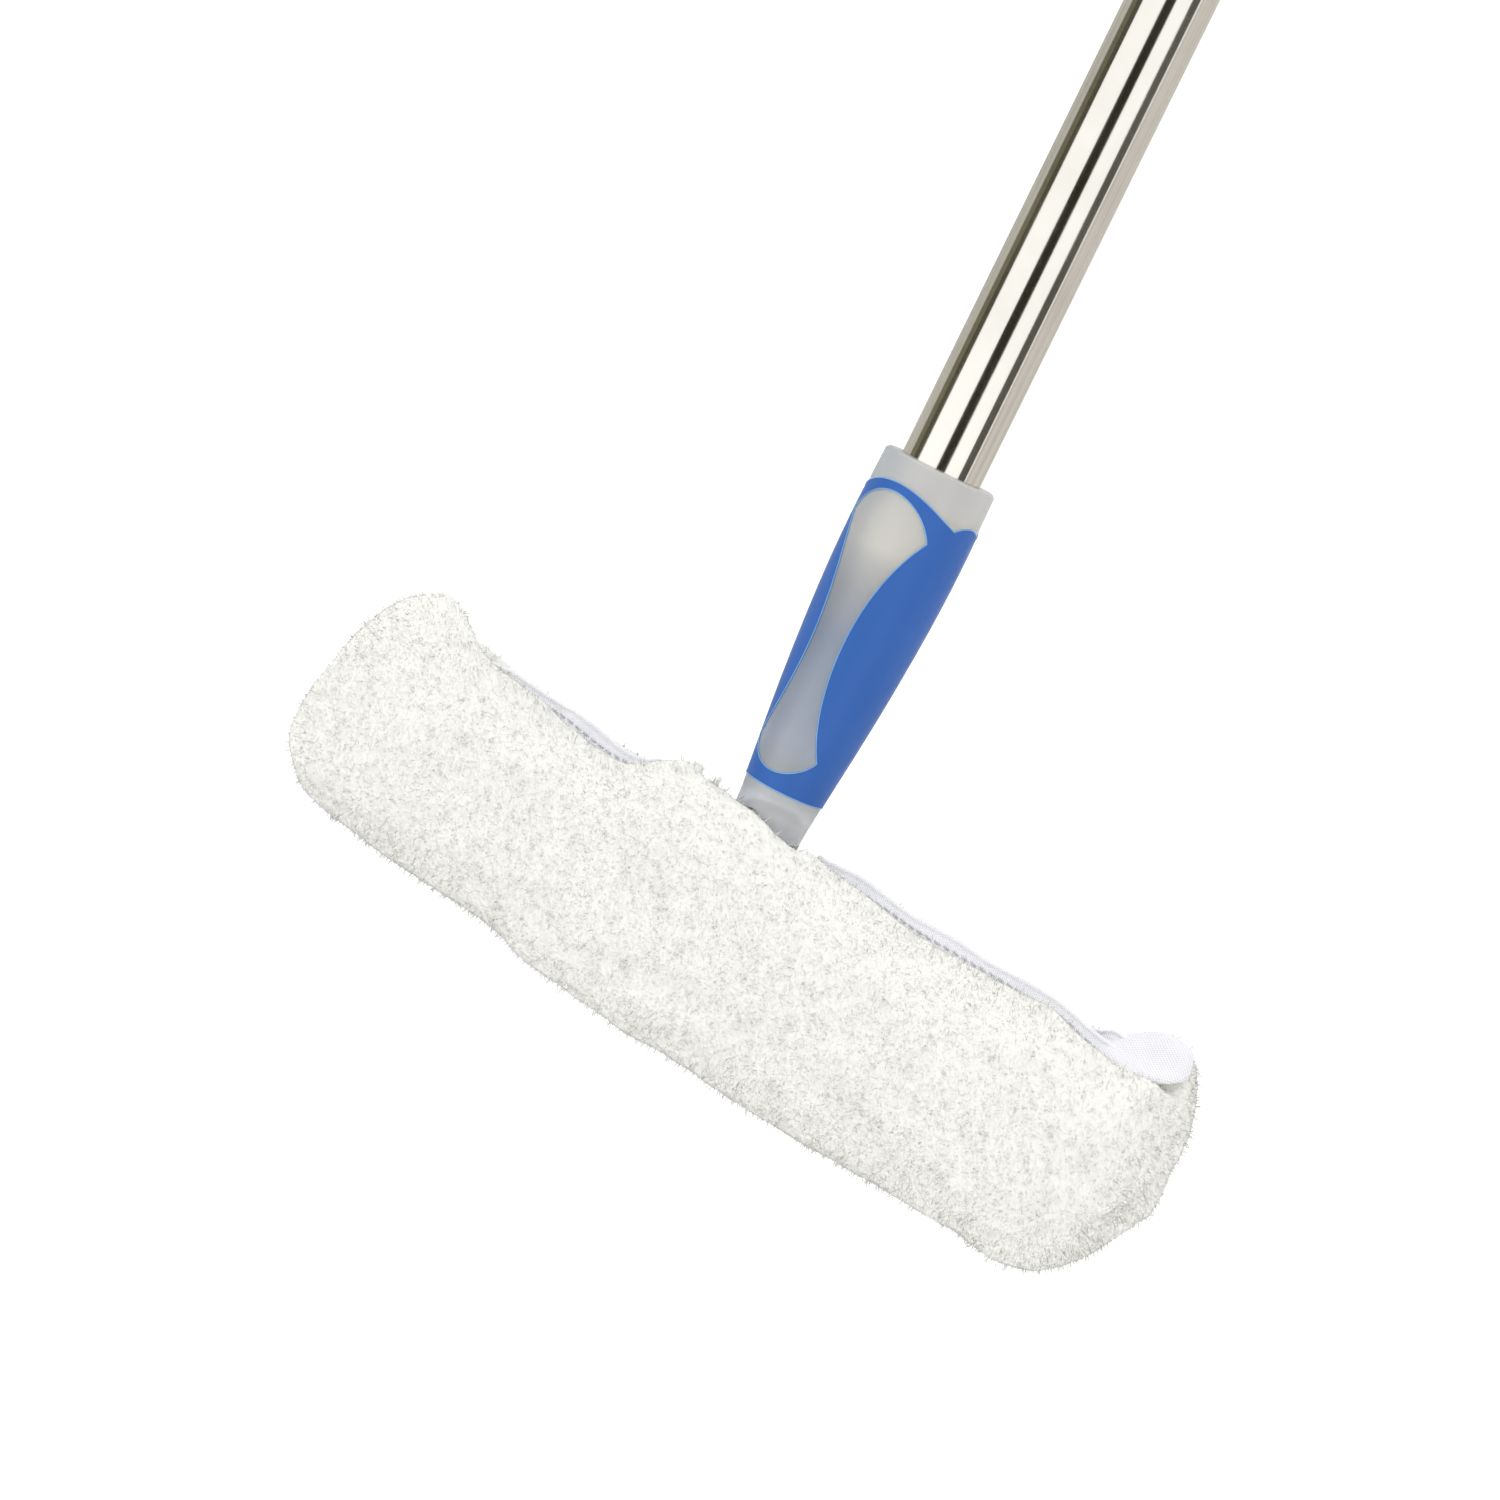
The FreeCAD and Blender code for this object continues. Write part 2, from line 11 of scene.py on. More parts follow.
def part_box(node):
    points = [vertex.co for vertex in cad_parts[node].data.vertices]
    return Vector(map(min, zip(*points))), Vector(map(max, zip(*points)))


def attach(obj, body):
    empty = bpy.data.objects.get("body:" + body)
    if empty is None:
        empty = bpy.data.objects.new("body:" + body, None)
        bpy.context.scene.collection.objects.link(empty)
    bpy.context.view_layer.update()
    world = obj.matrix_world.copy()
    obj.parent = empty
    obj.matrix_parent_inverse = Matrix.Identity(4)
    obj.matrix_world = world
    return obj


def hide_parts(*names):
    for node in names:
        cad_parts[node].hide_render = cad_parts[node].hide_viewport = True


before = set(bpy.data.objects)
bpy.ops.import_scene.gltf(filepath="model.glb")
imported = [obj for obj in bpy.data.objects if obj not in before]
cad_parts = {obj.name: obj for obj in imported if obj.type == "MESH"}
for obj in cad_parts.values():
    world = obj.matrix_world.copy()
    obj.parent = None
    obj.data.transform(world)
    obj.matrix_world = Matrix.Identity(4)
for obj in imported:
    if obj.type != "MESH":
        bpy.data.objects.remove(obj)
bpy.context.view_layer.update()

MM = 0.001
SEED = 20

# Height of the swivel pin in the frame, in metres.
PIVOT_Z = -0.826

# Places read from the frame, in metres.
BACKING_LOW, BACKING_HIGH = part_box("backing_cloth")
SLEEVE_LOW, SLEEVE_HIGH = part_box("pile_cover")
TAPE_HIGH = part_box("hook_tape")[1]
HEM_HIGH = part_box("hem_binding")[1]
GRIP_LOW, GRIP_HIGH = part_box("grip_core")
SLEEVE_MIDDLE = (SLEEVE_LOW.z + SLEEVE_HIGH.z) / 2

# Pile: the length of its three kinds of strand, how far the cloth that carries it lies inside the plain
# outline, how deep the strands are rooted, how many there are and into how many pieces they are split.
PILE_LENGTH = 1.0 * MM
PILE_INSET = 0.6 * MM
LONG_PILE_LENGTH = 3.2 * MM
FRINGE_LENGTH = 4.5 * MM
ROOT_DEPTH = 0.5 * MM
PILE_COUNT = 320000
LONG_PILE_COUNT = 12000
PILE_PARTS = 8

# The cloth simulation that fills the sleeve: how many frames it runs and how far a point may move.
SWELL_FRAMES = 20
SWELL_MOST = 2.5 * MM

# The drop-shaped patch of lining that shows at the right end of the opening: where it is widest, how far it
# runs each way along the head from there, and its half width.
CORNER_X = 138 * MM
CORNER_INWARD, CORNER_OUTWARD = 22 * MM, 14 * MM
CORNER_WIDE = 9 * MM

# Closing tapes and hems: where they start beside the neck, and the gap in the bag round the neck.
TAPE_START = 22 * MM
NECK_GAP = 20.5 * MM

# The outline of the worn, washed sleeve. Each point is (place along the head, height above the swivel pin),
# in millimetres. Front and back differ where a hem has rolled or a corner has turned up.
TOP_FRONT = [
    (-154, -3), (-144, 6), (-134, 13.5), (-124, 15), (-114, 10.5), (-104, 6), (-92, 4), (-80, 2.5), (-66, 0),
    (-54, -1.2), (-43, 0), (-37, 3.5), (-28, 8.5), (-14, 10.8), (4, 8.8), (14, 6), (26, 2.8), (52, 0.3),
    (96, -0.4), (116, -0.8), (126, -3), (142, -5), (150, -3), (154, -2),
]
TOP_BACK = [
    (-154, -2), (-130, 3), (-98, 1), (-74, -1), (-40, 0), (0, 1), (40, -0.5),
    (96, -2), (114, -2), (122, -1), (130, 4), (142, 7), (149, 6), (154, 2),
]
BOTTOM_LINE = [
    (-154, -57), (-147, -62.5), (-138, -65.5), (-130, -67), (-98, -69), (-62, -71), (-48, -74), (-30, -75),
    (20, -75.5), (52, -75), (96, -72), (112, -71.5), (122, -72.5), (131, -72.5), (140, -69), (148, -62.5),
    (154, -55),
]


# ---------------------------------------------------------------- small helpers


def smooth(value, low, high):
    """0 below low, 1 above high, and an easy curve between them."""
    t = np.clip((value - low) / (high - low), 0, 1)
    return t * t * (3 - 2 * t)


def through(points, x):
    """Height in metres at x of a smooth curve through points in millimetres."""
    xs, ys = np.array(points, float).T * MM
    slopes = np.gradient(ys, xs)
    i = np.clip(np.searchsorted(xs, x) - 1, 0, len(xs) - 2)
    h = xs[i + 1] - xs[i]
    t = np.clip((x - xs[i]) / h, 0, 1)
    a, b = 2 * t**3 - 3 * t**2 + 1, t**3 - 2 * t**2 + t
    return a * ys[i] + b * h * slopes[i] + (1 - a) * ys[i + 1] + (t**3 - t**2) * h * slopes[i + 1]


def coordinates(mesh):
    """The mesh's points as rows of three."""
    co = np.empty(len(mesh.vertices) * 3, np.float32)
    mesh.vertices.foreach_get("co", co)
    return co.reshape(-1, 3).astype(float)


def normals(mesh):
    """The way each of the mesh's points faces."""
    no = np.empty(len(mesh.vertices) * 3, np.float32)
    mesh.vertex_normals.foreach_get("vector", no)
    return no.reshape(-1, 3).astype(float)


def move_to(mesh, co):
    """Puts the mesh's points at new places."""
    mesh.vertices.foreach_set("co", co.astype(np.float32).ravel())
    mesh.update()


def noise_at(co, scale, shift=0.0):
    """Smooth noise from -1 to 1, whose bumps are about scale metres across."""
    offset = Vector((shift, 1.7 * shift, -shift))
    return np.array([noise.noise(Vector(p) / scale + offset) for p in co])


def drift(co, scale, seed):
    """A slowly turning vector for each point, as pile leans one way here and another way there."""
    rng = np.random.default_rng(seed)
    total = np.zeros_like(co)
    for _ in range(9):
        wave = rng.normal(size=3)
        wave *= 2 * math.pi / (scale * rng.uniform(0.6, 1.8) * np.linalg.norm(wave))
        total += np.sin(co @ wave + rng.uniform(0, 2 * math.pi))[:, None] * rng.normal(size=3)
    return total / 5


def mesh_object(name, verts, faces):
    """A new object in the scene, from points and faces."""
    mesh = bpy.data.meshes.new(name)
    mesh.from_pydata([tuple(v) for v in verts], [], faces)
    mesh.update()
    obj = bpy.data.objects.new(name, mesh)
    bpy.context.scene.collection.objects.link(obj)
    return obj


def shade_smooth(obj):
    """Smooth shading on every face."""
    obj.data.polygons.foreach_set("use_smooth", [True] * len(obj.data.polygons))
    obj.data.update()


def apply_modifiers(obj):
    """Turns the object's modifiers into its own mesh."""
    depsgraph = bpy.context.evaluated_depsgraph_get()
    made = bpy.data.meshes.new_from_object(obj.evaluated_get(depsgraph))
    obj.modifiers.clear()
    obj.data = made


# ---------------------------------------------------------------- materials


class Paint:
    """A Principled material with short calls for the nodes that vary it."""

    def __init__(self, name, **settings):
        self.material = bpy.data.materials.new(name)
        self.material.use_nodes = True
        self.nodes = self.material.node_tree.nodes
        self.links = self.material.node_tree.links
        self.shader = self.nodes["Principled BSDF"]
        for socket, value in settings.items():
            self.shader.inputs[socket.replace("_", " ")].default_value = value
        place = self.nodes.new("ShaderNodeTexCoord")
        self.place = place.outputs["Object"]

    def feed(self, output, socket):
        """Joins a node's output to one of the shader's inputs."""
        self.links.new(output, self.shader.inputs[socket])

    def stretched(self, x, y, z):
        """Object coordinates scaled along each axis."""
        node = self.nodes.new("ShaderNodeMapping")
        node.inputs["Scale"].default_value = (x, y, z)
        self.links.new(self.place, node.inputs["Vector"])
        return node.outputs["Vector"]

    def noise(self, size, detail=3.0, roughness=0.55, vector=None):
        """Noise whose features are about size metres across, or per unit of a scaled vector."""
        node = self.nodes.new("ShaderNodeTexNoise")
        node.inputs["Scale"].default_value = 1 / size
        node.inputs["Detail"].default_value = detail
        node.inputs["Roughness"].default_value = roughness
        self.links.new(vector or self.place, node.inputs["Vector"])
        return node.outputs["Fac"]

    def ramp(self, value, *stops):
        """Colours or greys at places from 0 to 1, blended between."""
        node = self.nodes.new("ShaderNodeValToRGB")
        elements = node.color_ramp.elements
        while len(elements) < len(stops):
            elements.new(0.5)
        for element, (at, colour) in zip(elements, stops):
            element.position = at
            element.color = (*colour, 1) if isinstance(colour, tuple) else (colour, colour, colour, 1)
        self.links.new(value, node.inputs["Fac"])
        return node.outputs["Color"]

    def math(self, operation, a, b=0.0, c=0.0):
        """One sum on numbers or on other nodes' outputs."""
        node = self.nodes.new("ShaderNodeMath")
        node.operation = operation
        for socket, value in zip(node.inputs, (a, b, c)):
            if isinstance(value, (int, float)):
                socket.default_value = value
            else:
                self.links.new(value, socket)
        return node.outputs[0]

    def mix(self, factor, a, b, how="MIX"):
        """Two colours mixed, or one multiplied by the other."""
        node = self.nodes.new("ShaderNodeMix")
        node.data_type = "RGBA"
        node.blend_type = how
        for socket, value in zip((node.inputs[0], node.inputs[6], node.inputs[7]), (factor, a, b)):
            if isinstance(value, (int, float)):
                socket.default_value = value
            elif isinstance(value, tuple):
                socket.default_value = (*value, 1)
            else:
                self.links.new(value, socket)
        return node.outputs[2]

    def bump(self, height, distance, strength=1.0):
        """Fine relief on the surface."""
        node = self.nodes.new("ShaderNodeBump")
        node.inputs["Distance"].default_value = distance
        node.inputs["Strength"].default_value = strength
        self.links.new(height, node.inputs["Height"])
        self.feed(node.outputs["Normal"], "Normal")

    def attribute(self, name):
        """A number stored on the mesh's points."""
        node = self.nodes.new("ShaderNodeAttribute")
        node.attribute_name = name
        return node.outputs["Fac"]


def plush_paint():
    """Cream pile, slightly darker toward the strands' roots as painted shade, with soft patches where the wash
    has parted it.
    """
    paint = Paint("plush_pile", Sheen_Weight=0.1, Sheen_Roughness=0.6)
    paint.shader.inputs["Specular IOR Level"].default_value = 0.1
    patches = paint.ramp(paint.noise(16 * MM), (0.3, (0.772, 0.765, 0.72)), (0.7, (0.789, 0.782, 0.737)))
    tufts = paint.ramp(paint.noise(1.6 * MM, 1.0), (0.3, (0.985, 0.985, 0.985)), (0.75, (1.0, 1.0, 1.0)))
    colour = paint.mix(1.0, patches, tufts, "MULTIPLY")
    # Painted shade: strands slightly darker toward their roots, and the cloth between them, by the tip
    # attribute.
    tip = paint.ramp(paint.attribute("tip"), (0.0, (0.98, 0.98, 0.978)), (0.8, (1.0, 1.0, 1.0)))
    paint.feed(paint.mix(1.0, colour, tip, "MULTIPLY"), "Base Color")
    paint.feed(paint.ramp(paint.noise(3 * MM), (0.3, 0.85), (0.7, 1.0)), "Roughness")
    return paint.material


def woven_paint(name, light, dark, pitch):
    """A plain weave: warp along the head over weft across it, by turns, with painted shade in its dips and
    painted highlight on its crowns.
    """
    paint = Paint(name, Roughness=0.8, Sheen_Weight=0.15)
    split = paint.nodes.new("ShaderNodeSeparateXYZ")
    paint.links.new(paint.place, split.inputs[0])
    turn = 2 * math.pi / pitch
    across = paint.math("ADD", split.outputs["Y"], split.outputs["Z"])
    warp = paint.math("SINE", paint.math("MULTIPLY", across, turn))
    weft = paint.math("SINE", paint.math("MULTIPLY", split.outputs["X"], turn))
    over = paint.math("MULTIPLY", warp, weft)
    height = paint.math("MULTIPLY_ADD", over, 0.5, 0.5)
    # Colour follows the weave's height: painted shade in the dips, painted highlight on the thread crowns.
    threads = paint.ramp(height, (0.1, dark), (0.75, light))
    wear = paint.ramp(paint.noise(9 * MM), (0.3, (0.93, 0.93, 0.94)), (0.7, (1.0, 1.0, 1.0)))
    paint.feed(paint.mix(1.0, threads, wear, "MULTIPLY"), "Base Color")
    paint.feed(paint.ramp(paint.noise(0.8 * MM), (0.3, 0.7), (0.7, 0.92)), "Roughness")
    paint.bump(height, 0.25 * MM, 0.8)
    return paint.material


def stainless_paint():
    """Mirror-polished tube with fine draw lines along it and faint smudges."""
    paint = Paint("polished_stainless", Metallic=1.0)
    lines = paint.noise(0.7 * MM, 2.0, vector=paint.stretched(1, 1, 0.01))
    smudge = paint.noise(22 * MM, 4.0)
    colour = paint.ramp(smudge, (0.3, (0.73, 0.71, 0.655)), (0.7, (0.79, 0.77, 0.715)))
    paint.feed(colour, "Base Color")
    mixed = paint.math("MULTIPLY_ADD", lines, 0.5, paint.math("MULTIPLY", smudge, 0.5))
    paint.feed(paint.ramp(mixed, (0.35, 0.08), (0.7, 0.15)), "Roughness")
    paint.bump(lines, 0.01 * MM, 0.25)
    return paint.material


def milky_paint():
    """Translucent moulded plastic, milky blue-grey with flow marks, with painted light and shade by height: a
    warm painted reflection where the tube shows through.
    """
    paint = Paint("milky_plastic", IOR=1.47, Transmission_Weight=0.52)
    split = paint.nodes.new("ShaderNodeSeparateXYZ")
    paint.links.new(paint.place, split.inputs[0])
    above_neck = paint.math("SUBTRACT", split.outputs["Z"], GRIP_LOW.z)
    up = paint.math("MULTIPLY", above_neck, 1 / (GRIP_HIGH.z - GRIP_LOW.z))
    # Painted light and shade by height: lighter over the neck, a dimmer blue painted shade over the hollow
    # lower window, a warm painted reflection of the tube in the upper window.
    body = paint.ramp(
        up,
        (0.125, (0.88, 0.89, 0.90)),
        (0.165, (0.56, 0.575, 0.585)),
        (0.20, (0.55, 0.57, 0.58)),
        (0.30, (0.53, 0.575, 0.66)),
        (0.55, (0.375, 0.44, 0.55)),
        (0.68, (0.53, 0.545, 0.565)),
        (0.79, (0.83, 0.81, 0.75)),
        (0.87, (0.80, 0.785, 0.74)),
        (0.95, (0.74, 0.735, 0.72)),
    )
    flow = paint.noise(14 * MM, 2.0, vector=paint.stretched(1, 1, 0.35))
    marks = paint.ramp(flow, (0.3, (0.94, 0.94, 0.945)), (0.7, (1.0, 1.0, 1.0)))
    # Bluer and darker towards the low-X side of the grip, mixed in with the flow marks.
    across = paint.math("MULTIPLY_ADD", split.outputs["X"], 1 / (28 * MM), 0.5)
    cool = paint.ramp(across, (0.15, (0.80, 0.84, 0.90)), (0.55, (1.0, 1.0, 1.0)))
    marks = paint.mix(1.0, marks, cool, "MULTIPLY")
    paint.feed(paint.mix(1.0, body, marks, "MULTIPLY"), "Base Color")
    paint.feed(paint.ramp(paint.noise(6 * MM), (0.3, 0.36), (0.7, 0.44)), "Roughness")
    paint.bump(paint.noise(7 * MM, 1.0), 0.02 * MM, 0.2)
    return paint.material


def moulded_paint(name, low, high, rough, shine=0.5, grain=0.6 * MM):
    """Opaque moulded plastic with a fine texture, slight flow marks and uneven gloss."""
    paint = Paint(name, IOR=1.5, Specular_IOR_Level=shine)
    flow = paint.noise(18 * MM, 3.0, vector=paint.stretched(1, 1, 0.4))
    paint.feed(paint.ramp(flow, (0.3, low), (0.7, high)), "Base Color")
    fine = paint.math("MULTIPLY", paint.noise(grain), 0.4)
    gloss = paint.math("MULTIPLY_ADD", paint.noise(5 * MM), 0.6, fine)
    paint.feed(paint.ramp(gloss, (0.35, rough - 0.05), (0.65, rough + 0.08)), "Roughness")
    paint.bump(paint.noise(grain, 2.0), 0.03 * MM, 0.35)
    return paint.material


def fixing_paint():
    """Plain bright steel of pins, clips and the rivet, with turning marks."""
    paint = Paint("fixing_steel", Metallic=1.0)
    marks = paint.noise(0.5 * MM, 2.0, vector=paint.stretched(1, 0.1, 1))
    paint.feed(paint.ramp(marks, (0.3, (0.50, 0.50, 0.50)), (0.7, (0.66, 0.65, 0.64))), "Base Color")
    paint.feed(paint.ramp(marks, (0.3, 0.22), (0.7, 0.38)), "Roughness")
    paint.bump(marks, 0.02 * MM, 0.4)
    return paint.material


def rubber_paint():
    """Dark seal rubber with a dull bloom."""
    paint = Paint("seal_rubber", IOR=1.5)
    bloom = paint.noise(4 * MM, 4.0)
    paint.feed(paint.ramp(bloom, (0.3, (0.03, 0.03, 0.034)), (0.7, (0.055, 0.055, 0.06))), "Base Color")
    paint.feed(paint.ramp(bloom, (0.3, 0.6), (0.7, 0.8)), "Roughness")
    paint.bump(paint.noise(0.4 * MM, 2.0), 0.03 * MM, 0.5)
    return paint.material


def dress(node, material):
    """Gives a CAD node its material."""
    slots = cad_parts[node].material_slots
    for kept in slots:
        kept.material = material
    if not slots:
        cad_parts[node].data.materials.append(material)


def outer_edges(mesh):
    """The sharp edges on the outside of an upright skin, as pairs of points."""
    shape = bmesh.new()
    shape.from_mesh(mesh)
    bmesh.ops.remove_doubles(shape, verts=shape.verts, dist=0.001 * MM)
    kept = []
    for edge in shape.edges:
        if len(edge.link_faces) != 2 or edge.calc_face_angle(0) < math.radians(40):
            continue
        middle = (edge.verts[0].co + edge.verts[1].co) / 2
        outward = Vector((middle.x, middle.y, 0)).normalized()
        if max(face.normal.dot(outward) for face in edge.link_faces) > 0.6:
            kept.append(tuple(tuple(vert.co) for vert in edge.verts))
    shape.free()
    return kept


def runs_of(lines):
    """Joins line segments end to end into longer runs of points."""
    beside = {}
    for a, b in lines:
        beside.setdefault(a, []).append(b)
        beside.setdefault(b, []).append(a)
    left = {frozenset(line) for line in lines}
    runs = []
    for start in sorted(beside, key=lambda point: (len(beside[point]) == 2, point)):
        for following in beside[start]:
            run = [start]
            while following and frozenset((run[-1], following)) in left:
                left.discard(frozenset((run[-1], following)))
                run.append(following)
                ahead = [p for p in beside[following] if frozenset((following, p)) in left]
                following = ahead[0] if len(beside[following]) == 2 and ahead else None
            if len(run) > 1:
                runs.append(run)
    return runs


def edge_bead(node, name, material, body):
    """A fine bead along the outer edges of a blue skin, as the moulding leaves it, its paler blue a painted
    highlight.
    """
    curve = bpy.data.curves.new(name, "CURVE")
    curve.dimensions = "3D"
    curve.bevel_depth = 0.17 * MM
    curve.bevel_resolution = 1
    curve.use_fill_caps = True
    for run in runs_of(outer_edges(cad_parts[node].data)):
        spline = curve.splines.new("POLY")
        closed = run[0] == run[-1]
        points = run[:-1] if closed else run
        spline.points.add(len(points) - 1)
        spline.points.foreach_set("co", [value for point in points for value in (*point, 1)])
        spline.use_cyclic_u = closed
    curve.materials.append(material)
    obj = bpy.data.objects.new(name, curve)
    bpy.context.scene.collection.objects.link(obj)
    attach(obj, body)


def dress_frame():
    """Materials for every CAD node that stays, and the beads on the two blue skins."""
    blue = moulded_paint("blue_plastic", (0.018, 0.093, 0.343), (0.024, 0.104, 0.372), 0.42, shine=0.3)
    white = moulded_paint("white_plastic", (0.60, 0.605, 0.615), (0.67, 0.675, 0.68), 0.42)
    finishes = {
        stainless_paint(): ["upper_tube", "lower_tube"],
        milky_paint(): ["hand_grip_core", "grip_core"],
        blue: ["hand_grip_skin", "grip_skin", "lock_collar", "end_cap"],
        white: ["lock_base", "t_bar", "bar_end_caps", "guide_bush", "tube_end_plug", "clamp_ring"],
        fixing_paint(): ["lock_clip", "grip_rivet", "pivot_pin", "pivot_clip"],
        rubber_paint(): ["wiper_seal"],
    }
    for material, members in finishes.items():
        for node in members:
            dress(node, material)
    # The bead's paler blue is a painted highlight along the skins' edges.
    edge = moulded_paint("blue_edge_painted_highlight", (0.12, 0.32, 0.62), (0.16, 0.37, 0.67), 0.35)
    edge_bead("grip_skin", "grip_skin_bead", edge, "lower_pole")
    edge_bead("hand_grip_skin", "hand_grip_skin_bead", edge, "upper_pole")


# ---------------------------------------------------------------- the plush sleeve


def copy_of(node, name):
    """A free copy of a CAD node's mesh, to work on."""
    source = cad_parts[node].data
    mesh = source.copy()
    mesh.materials.clear()
    obj = bpy.data.objects.new(name, mesh)
    bpy.context.scene.collection.objects.link(obj)
    return obj


def depth_outside(co):
    """How far a point lies outside the backing cloth, which the pile wraps."""
    low, high = np.array(BACKING_LOW), np.array(BACKING_HIGH)
    past = np.maximum(np.maximum(low - co, co - high), 0)
    return np.linalg.norm(past, axis=1)


def sleeve_shape(co):
    """Moves the plain block's skin to the outline of a soft sleeve. The cavity round the bar stays."""
    out = co.copy()
    loose = smooth(depth_outside(co), 1 * MM, 8 * MM)
    upper = smooth(co[:, 2], SLEEVE_MIDDLE, SLEEVE_HIGH.z)
    lower = smooth(-co[:, 2], -SLEEVE_MIDDLE, -SLEEVE_LOW.z)
    top = PIVOT_Z + top_line(co[:, 0], co[:, 1]) - SLEEVE_HIGH.z
    bottom = PIVOT_Z + through(BOTTOM_LINE, co[:, 0]) - SLEEVE_LOW.z
    out[:, 2] += loose * (upper * top + lower * bottom)
    depth = PIVOT_Z - co[:, 2]
    right_end = smooth(co[:, 0], 130 * MM, SLEEVE_HIGH.x)
    right_bulge = 3 * smooth(depth, 0, 22 * MM) - 5 * smooth(depth, 42 * MM, 66 * MM) - 1
    left_end = smooth(-co[:, 0], 130 * MM, SLEEVE_HIGH.x)
    left_bulge = 5 * smooth(depth, 10 * MM, 40 * MM) - 4 * smooth(depth, 48 * MM, 66 * MM) - 2
    out[:, 0] += loose * (right_end * right_bulge - left_end * left_bulge) * MM
    return out


def cloth_swell(obj, held):
    """Blows the sleeve up a little as cloth, with the held points pinned."""
    before = coordinates(obj.data)
    pin = obj.vertex_groups.new(name="held")
    for index in np.nonzero(held)[0]:
        pin.add([int(index)], 1.0, "REPLACE")
    cloth = obj.modifiers.new("cloth", "CLOTH")
    settings = cloth.settings
    settings.quality = 5
    settings.mass = 0.3
    settings.use_pressure = True
    settings.uniform_pressure_force = 4.0
    settings.effector_weights.gravity = 0.0
    settings.vertex_group_mass = "held"
    cloth.point_cache.frame_start = 1
    cloth.point_cache.frame_end = SWELL_FRAMES
    scene = bpy.context.scene
    for frame_number in range(1, SWELL_FRAMES + 1):
        scene.frame_set(frame_number)
    depsgraph = bpy.context.evaluated_depsgraph_get()
    moved = obj.evaluated_get(depsgraph).to_mesh()
    after = coordinates(moved)
    obj.modifiers.remove(cloth)
    obj.vertex_groups.clear()
    scene.frame_set(1)
    step = after - before
    length = np.linalg.norm(step, axis=1, keepdims=True)
    step *= np.minimum(1, SWELL_MOST / np.maximum(length, 1e-9))
    move_to(obj.data, before + step)


def corner_width(along):
    """Half width of the patch of turned lining, from -1 at its narrow end through 0 to 1."""
    return CORNER_WIDE * (0.5 + 0.5 * smooth(along, -1, 0.1))


def from_corner(co):
    """How far each point lies from the middle of the patch of turned lining, where 1 is its edge."""
    along = (co[:, 0] - CORNER_X) / np.where(co[:, 0] > CORNER_X, CORNER_OUTWARD, CORNER_INWARD)
    return np.hypot(along, co[:, 1] / corner_width(along))


def add_folds(mesh):
    """The crease along the lower front, the hollows of handled plush and the dip under the turned lining."""
    co, no = coordinates(mesh), normals(mesh)
    free = smooth(depth_outside(co), 3 * MM, 8 * MM)
    crease = PIVOT_Z - 53 * MM + 3 * MM * np.sin(co[:, 0] / (21 * MM))
    along = smooth(co[:, 0], -75 * MM, -35 * MM) * (1 - smooth(co[:, 0], 70 * MM, 105 * MM))
    front = smooth(-co[:, 1], 8 * MM, 16 * MM)
    press = 1.6 * MM * np.exp(-(((co[:, 2] - crease) / (5 * MM)) ** 2)) * along * front
    hollows = 1.1 * MM * noise_at(co, 34 * MM) + 0.6 * MM * noise_at(co, 13 * MM, 4.0)
    lumps = 0.35 * MM * noise_at(co, 4.5 * MM, 9.0)
    co += no * (free * (hollows + lumps - press))[:, None]
    dip = 1 - smooth(from_corner(co), 0.75, 1.1)
    co[:, 2] -= 3.2 * MM * dip * smooth(co[:, 2], PIVOT_Z - 12 * MM, PIVOT_Z - 5 * MM)
    move_to(mesh, co)


def sleeve_base():
    """The thick cloth of the sleeve, from which the pile stands."""
    obj = copy_of("pile_cover", "sleeve_plush")
    remesh = obj.modifiers.new("remesh", "REMESH")
    remesh.mode = "VOXEL"
    remesh.voxel_size = 3.5 * MM
    apply_modifiers(obj)
    mesh = obj.data
    co = sleeve_shape(coordinates(mesh))
    move_to(mesh, co)
    free = smooth(depth_outside(co), 3 * MM, 8 * MM)
    move_to(mesh, co - normals(mesh) * (PILE_INSET * free)[:, None])
    cloth_swell(obj, depth_outside(coordinates(mesh)) < 4 * MM)
    subdivide = obj.modifiers.new("subdivide", "SUBSURF")
    subdivide.levels = subdivide.render_levels = 1
    apply_modifiers(obj)
    add_folds(obj.data)
    shade_smooth(obj)
    return obj


